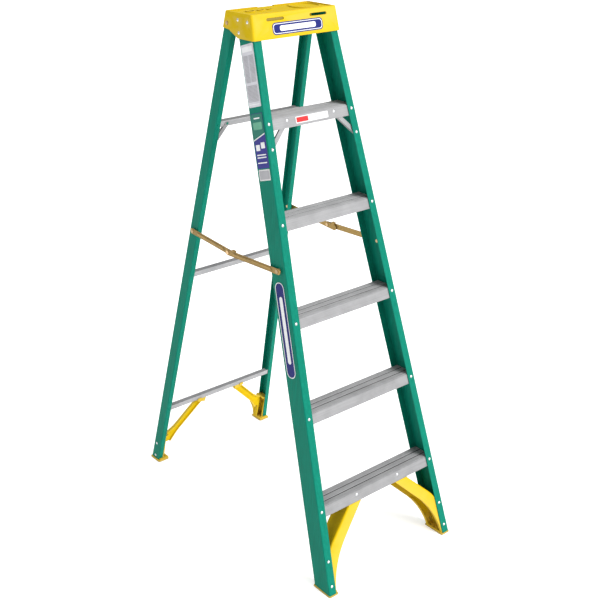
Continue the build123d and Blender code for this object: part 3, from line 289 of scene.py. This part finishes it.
MATERIALS = {
    "rail_fibreglass": fibreglass(),
    "cap_plastic": moulded_plastic("cap_yellow", (0.565, 0.395, 0.002), 900.0, 0.55, 0.2),
    "foot_plastic": moulded_plastic("foot_yellow", (0.57, 0.385, 0.003), 700.0, 0.55, 0.2),
    "sole_rubber": rubber((0.62, 0.40, 0.03)),
    "step_aluminium": extruded_aluminium("step_mill_aluminium", (0.295, 0.295, 0.30), 0.55),
    "rivet_aluminium": bright_rivet(),
    "spreader_steel": plated_steel("spreader_gold_zinc", (0.225, 0.145, 0.045), 0.45),
    "pin_steel": plated_steel("pin_zinc", (0.40, 0.28, 0.15), 0.38),
    "washer_nylon": moulded_plastic("washer_nylon", (0.72, 0.70, 0.62), 500.0, 0.5),
    "label_grey": vinyl("label_grey", (0.58, 0.58, 0.62)),
    "label_green": vinyl("label_violet", (0.035, 0.035, 0.22)),
    "label_white": vinyl("label_white", (0.62, 0.62, 0.62)),
    "decal_navy": vinyl("decal_navy", (0.010, 0.015, 0.14)),
}
# Painted light: the tread ribs take a lighter copy of the step aluminium, so the tread tops read brighter.
RIB_PAINTED_LIGHT = extruded_aluminium("rib_aluminium", (0.365, 0.365, 0.37), 0.55)
# Rear bar aluminium with painted shade: its faces that face up are darkened to 0.62 of its colour.
BAR_PAINTED_TOP_SHADE = extruded_aluminium("bar_aluminium", (0.40, 0.40, 0.41), 0.52, 0.62)
PAINTED_RIVETS = ("rear_bar_rivets", "rear_top_brace_rivets")
# Painted shade: a darker yellow for the floor of the cap's shallow slot.
SLOT_PAINTED_SHADE = moulded_plastic("slot_shaded_yellow", (0.23, 0.162, 0.004), 900.0, 0.7, 0.2)
# Painted shade: near-black sheets laid on the floors of the tread grooves.
GROOVE_PAINTED_SHADE = extruded_aluminium("groove_painted_shade", (0.045, 0.045, 0.047), 0.75)
INKS = {
    "white": vinyl("ink_white", (0.72, 0.73, 0.74)),
    "grey": vinyl("ink_grey", (0.36, 0.36, 0.38)),
    "green": vinyl("ink_green", (0.02, 0.16, 0.12)),
    "pale_green": vinyl("ink_pale_green", (0.12, 0.36, 0.24)),
    "navy": vinyl("ink_navy", (0.009, 0.014, 0.14)),
    "red": vinyl("ink_red", (0.55, 0.03, 0.03)),
    "yellow": vinyl("ink_yellow", (0.85, 0.58, 0.02)),
}


def dress_cad_nodes():
    """Gives each CAD node the finish of its slot; the rear bar rivets take the rail fibreglass, and the
    rear bars take a bar aluminium with painted shade on their faces that face up.
    """
    for entry in frame["record"]["subparts"]:
        part = nodes[entry["node"]]
        finish = MATERIALS[entry["material_slot"]]
        if entry["node"] in PAINTED_RIVETS:
            finish = MATERIALS["rail_fibreglass"]
        elif entry["node"].startswith("rear_bar"):
            finish = BAR_PAINTED_TOP_SHADE
        for place in part.material_slots:
            place.material = finish


# ---------------------------------------------------------------- mesh helpers
def mesh_piece(name, build, material, body):
    """A new mesh object built by a function that fills a bmesh."""
    mesh = bpy.data.meshes.new(name)
    work = bmesh.new()
    build(work)
    bmesh.ops.recalc_face_normals(work, faces=work.faces)
    work.to_mesh(mesh)
    work.free()
    piece = bpy.data.objects.new(name, mesh)
    bpy.context.scene.collection.objects.link(piece)
    mesh.materials.append(material)
    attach(piece, body)


def prism(work, outline, place, thick):
    """A closed outline of (x, y) points, given thickness along the local z of a matrix."""
    low = [work.verts.new(place @ Vector((x, y, 0.0))) for x, y in outline]
    high = [work.verts.new(place @ Vector((x, y, thick))) for x, y in outline]
    count = len(outline)
    work.faces.new(low[::-1])
    work.faces.new(high)
    for index in range(count):
        after = (index + 1) % count
        work.faces.new((low[index], low[after], high[after], high[index]))


def rounded(wide, tall, corner, centre=(0.0, 0.0), steps=8):
    """Outline of a rectangle with round corners."""
    points = []
    for quarter, (sx, sy) in enumerate(((1, 1), (-1, 1), (-1, -1), (1, -1))):
        for step in range(steps + 1):
            angle = math.radians(90 * quarter + 90 * step / steps)
            x = centre[0] + sx * (wide / 2 - corner) + corner * math.cos(angle)
            y = centre[1] + sy * (tall / 2 - corner) + corner * math.sin(angle)
            points.append((x, y))
    return points


def ring(work, outer, inner, place, thick):
    """A flat band between two outlines with the same number of points."""
    count = len(outer)
    loops = []
    for outline in (outer, inner):
        for z in (0.0, thick):
            loops.append([work.verts.new(place @ Vector((x, y, z))) for x, y in outline])
    outer_low, outer_high, inner_low, inner_high = loops
    for index in range(count):
        after = (index + 1) % count
        for one, two in ((outer_low, outer_high), (outer_high, inner_high),
                         (inner_high, inner_low), (inner_low, outer_low)):
            work.faces.new((one[index], one[after], two[after], two[index]))


# ---------------------------------------------------------------- tread ribs
def tread_bands(number):
    """Front edge of a tread's first raised band, and the width of a band."""
    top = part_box(f"step_{number}")[1].z
    corners = nodes[f"step_{number}"].data.vertices
    flat = [corner.co.y for corner in corners if corner.co.z > top - TREAD_FLAT]
    front = min(flat) - BAND_SLOPE
    width = max(flat) + BAND_SLOPE - front
    return front, (width - (BAND_COUNT - 1) * BAND_GROOVE) / BAND_COUNT


def tread_ribs(number):
    """Fine grip ribs on the three raised bands of a tread, run across the ladder, in a lighter copy of the
    step aluminium: painted light on the tread tops.
    """
    low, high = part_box(f"step_{number}")
    half = high.x - TREAD_END_GAP
    top = high.z
    front, band = tread_bands(number)

    def build(work):
        for index in range(BAND_COUNT):
            start = front + index * (band + BAND_GROOVE)
            count = int(band // RIB_PITCH)
            margin = (band - count * RIB_PITCH) / 2
            for rib in range(count):
                y = start + margin + (rib + 0.5) * RIB_PITCH
                profile = [(-0.32, -RIB_SINK), (0.32, -RIB_SINK), (0.22, RIB_HEIGHT * 0.8),
                           (0.10, RIB_HEIGHT), (-0.10, RIB_HEIGHT), (-0.22, RIB_HEIGHT * 0.8)]
                outline = [(part * RIB_PITCH, z) for part, z in profile]
                place = Matrix.Translation((-half, y, top)) @ Matrix(
                    ((0, 0, 1, 0), (1, 0, 0, 0), (0, 1, 0, 0), (0, 0, 0, 1)))
                prism(work, outline, place, 2 * half)

    mesh_piece(f"tread_ribs_{number}", build, RIB_PAINTED_LIGHT, "front_frame")


def tread_grooves(number):
    """The floors of the two grooves between the bands, as near-black sheets darker than the ribs: painted
    shade in the grooves.
    """
    low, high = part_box(f"step_{number}")
    half = high.x - TREAD_END_GAP
    front, band = tread_bands(number)
    floor = high.z - BAND_HEIGHT

    def build(work):
        for index in range(BAND_COUNT - 1):
            start = front + (index + 1) * band + index * BAND_GROOVE + GROOVE_MARGIN
            end = start + BAND_GROOVE - 2 * GROOVE_MARGIN
            outline = [(-half, start), (-half, end), (half, end), (half, start)]
            prism(work, outline, Matrix.Translation((0.0, 0.0, floor - RIB_SINK)), RIB_SINK + GROOVE_FILM)

    mesh_piece(f"tread_grooves_{number}", build, GROOVE_PAINTED_SHADE, "front_frame")


# ---------------------------------------------------------------- label art
def label_place(node, x_dir, normal, lift=0.0):
    """A matrix at the middle of a label plate's outer face: x along x_dir, z out of the plate."""
    x_axis = Vector(x_dir).normalized()
    z_axis = Vector(normal).normalized()
    y_axis = z_axis.cross(x_axis).normalized()
    coords = [v.co for v in nodes[node].data.vertices]
    centre = sum(coords, Vector()) / len(coords)
    face = max(z_axis.dot(co) for co in coords)
    centre += z_axis * (face - z_axis.dot(centre) + lift)
    turn = Matrix((x_axis, y_axis, z_axis)).transposed().to_4x4()
    return Matrix.Translation(centre) @ turn


WEB_UP = Vector((FRONT_NARROWING, math.sin(FRONT_LEAN), math.cos(FRONT_LEAN))).normalized()
WEB_NORMAL = Vector((-1.0, 0.0, FRONT_NARROWING)).normalized()
WEB_BACK = Vector((0.0, math.cos(FRONT_LEAN), -math.sin(FRONT_LEAN)))


def web_art(name, node, ink, shapes, level=0):
    """Flat printed shapes on a label of the left rail: each is an outline, or a pair of them for a band."""
    place = label_place(node, -WEB_BACK, WEB_NORMAL, INK_LIFT * level)

    def build(work):
        for outline in shapes:
            if isinstance(outline[0], list):
                ring(work, outline[0], outline[1], place, INK_THICK)
            else:
                prism(work, outline, place, INK_THICK)

    mesh_piece(name, build, INKS[ink], "front_frame")


def bars(left, right, top, bottom, count, fill=0.45):
    """Plain level stripes that fill a box from top to bottom."""
    pitch = (top - bottom) / count
    found = []
    for index in range(count):
        y = top - pitch * (index + 0.5)
        tall = pitch * fill
        found.append(rounded(right - left, tall, tall * 0.3, ((left + right) / 2, y), 3))
    return found


def front_label_place(node, lift=0.0):
    """Labels that face the climber."""
    return label_place(node, (1, 0, 0), (0, -math.cos(FRONT_LEAN), math.sin(FRONT_LEAN)), lift)


def instruction_art():
    """Grey panel with a pale head block, plain stripes and blocks: no lettering."""
    web_art("instruction_head", "instruction_label", "white",
            [rounded(0.052, 0.016, 0.002, (0.0, 0.078), 4),
             rounded(0.052, 0.003, 0.001, (0.0, -0.085), 3)])
    web_art("instruction_stripes", "instruction_label", "grey",
            bars(-0.026, -0.002, 0.060, -0.020, 22) + bars(0.002, 0.026, 0.060, -0.020, 22)
            + bars(-0.026, 0.026, -0.028, -0.078, 13))


def size_art():
    """Green upper field, violet lower field, a white slanting line between them."""
    web_art("size_green_field", "size_label", "green",
            [[(-0.0295, 0.0815), (-0.0295, 0.004), (0.0295, 0.022), (0.0295, 0.0815)]])
    web_art("size_pale_block", "size_label", "pale_green",
            [rounded(0.044, 0.022, 0.004, (0.0, 0.045), 5)], 1)
    web_art("size_white_lines", "size_label", "white",
            [[(-0.0295, 0.004), (-0.0295, 0.0005), (0.0295, 0.0185), (0.0295, 0.022)],
             rounded(0.030, 0.004, 0.001, (0.0, 0.068), 3)], 1)
    web_art("size_white_blocks", "size_label", "white",
            [rounded(0.020, 0.018, 0.002, (-0.013, -0.020), 4),
             rounded(0.020, 0.018, 0.002, (0.013, -0.014), 4)]
            + [rounded(0.046, 0.0035, 0.001, (0.0, y), 3) for y in (-0.042, -0.050, -0.066)])


def small_art():
    """White-bordered grey field."""
    web_art("small_label_field", "small_label", "grey",
            [rounded(0.048, 0.026, 0.002, (0.0, 0.0), 4)])


def side_decal_art():
    """White outline round a navy field with a plain pale bar."""
    outer = rounded(0.044, 0.306, 0.021, steps=10)
    inner = rounded(0.0385, 0.3005, 0.0185, steps=10)
    web_art("side_decal_outline", "side_decal", "white", [[outer, inner]])
    web_art("side_decal_bar", "side_decal", "white",
            [rounded(0.016, 0.215, 0.008, (0.0, 0.0), 8)])


def step_label_art():
    """Red block and plain grey stripes on the top step's label."""
    place = front_label_place("step_label")

    def red(work):
        prism(work, rounded(0.046, 0.015, 0.001, (-0.039, 0.0), 3), place, INK_THICK)

    def grey(work):
        for outline in bars(-0.010, 0.060, 0.008, -0.008, 3, 0.30):
            prism(work, outline, place, INK_THICK)

    mesh_piece("step_label_red", red, INKS["red"], "front_frame")
    mesh_piece("step_label_stripes", grey, INKS["grey"], "front_frame")


def cap_decal_art():
    """Pale rounded bar inside a navy field with a thin pale outline."""
    place = label_place("cap_decal", (1, 0, 0), CAP_FRONT_NORMAL)
    bar = rounded(0.140, 0.016, 0.006, (0.0, 0.0), 6)
    outer = rounded(0.190, 0.030, 0.010)
    inner = rounded(0.186, 0.026, 0.009)

    def build(work):
        prism(work, bar, place, INK_THICK)
        ring(work, outer, inner, place, INK_THICK)

    mesh_piece("cap_decal_bar", build, INKS["white"], "front_frame")


def cap_slot_floor():
    """The floor of the cap's shallow slot, in a darker yellow: painted shade, so that it reads as a shaded
    recess.
    """
    wide, tall = SLOT_FLOOR_SIZE
    turn = Matrix(((1, 0, 0, 0), (0, 0, -1, 0), (0, 1, 0, 0), (0, 0, 0, 1)))
    place = Matrix.Translation(SLOT_FLOOR_MIDDLE) @ turn
    outline = rounded(wide, tall, tall / 2 - 0.0001)

    def build(work):
        prism(work, outline, place, INK_THICK)

    mesh_piece("cap_slot_floor", build, SLOT_PAINTED_SHADE, "front_frame")


# ---------------------------------------------------------------- floor, light and camera
def build_floor():
    """A wide pale floor, plain paper grey, that glows a little so that the shadows on it stay faint."""
    mesh = bpy.data.meshes.new("floor")
    size = FLOOR_HALF
    corners = [(-size, -size, 0.0), (size, -size, 0.0), (size, size, 0.0), (-size, size, 0.0)]
    mesh.from_pydata(corners, [], [(0, 1, 2, 3)])
    floor = bpy.data.objects.new("floor", mesh)
    bpy.context.scene.collection.objects.link(floor)
    shader = Shader("floor_pale", 0.9, Emission_Color=(1.0, 1.0, 1.0, 1.0), Emission_Strength=FLOOR_GLOW)
    cloud = shader.noise(3.0, 2.0)
    shader.colour(shader.ramp(cloud, [(0.3, (0.86, 0.86, 0.86)), (0.7, (0.88, 0.88, 0.88))]))
    mesh.materials.append(shader.material)


def soft_sun(name, source, strength, angle):
    """An even light from one direction with soft shadows; source points towards the light."""
    data = bpy.data.lights.new(name, "SUN")
    data.energy = strength
    data.angle = math.radians(angle)
    light = bpy.data.objects.new(name, data)
    light.rotation_euler = Vector(source).to_track_quat("Z", "Y").to_euler()
    bpy.context.scene.collection.objects.link(light)


def build_lights():
    """White surroundings and a broad key from in front of the steps, a little to the right."""
    world = bpy.data.worlds.new("studio")
    world.use_nodes = True
    back = world.node_tree.nodes["Background"]
    back.inputs["Color"].default_value = (1.0, 1.0, 1.0, 1.0)
    back.inputs["Strength"].default_value = SURROUND_STRENGTH
    bpy.context.scene.world = world
    soft_sun("key", *KEY_SUN)
    soft_sun("top", *TOP_SUN)


def plain_colours():
    """Shows colours as they are lit, without a film curve, so strong plastics stay strong."""
    bpy.context.scene.view_settings.view_transform = "Standard"


def build_camera():
    """A camera at the fitted place, turned by yaw about Z and then pitched down."""
    data = bpy.data.cameras.new("camera")
    data.lens = CAMERA_LENS
    data.sensor_width = CAMERA_SENSOR
    data.clip_end = 100.0
    camera = bpy.data.objects.new("camera", data)
    camera.location = CAMERA_PLACE
    camera.rotation_euler = (math.radians(90.0 + CAMERA_PITCH), 0.0, -math.radians(CAMERA_YAW))
    bpy.context.scene.collection.objects.link(camera)
    bpy.context.scene.camera = camera


dress_cad_nodes()
for number in range(1, STEP_COUNT + 1):
    tread_ribs(number)
    tread_grooves(number)
instruction_art()
size_art()
small_art()
side_decal_art()
step_label_art()
cap_decal_art()
cap_slot_floor()
build_floor()
build_lights()
plain_colours()
build_camera()
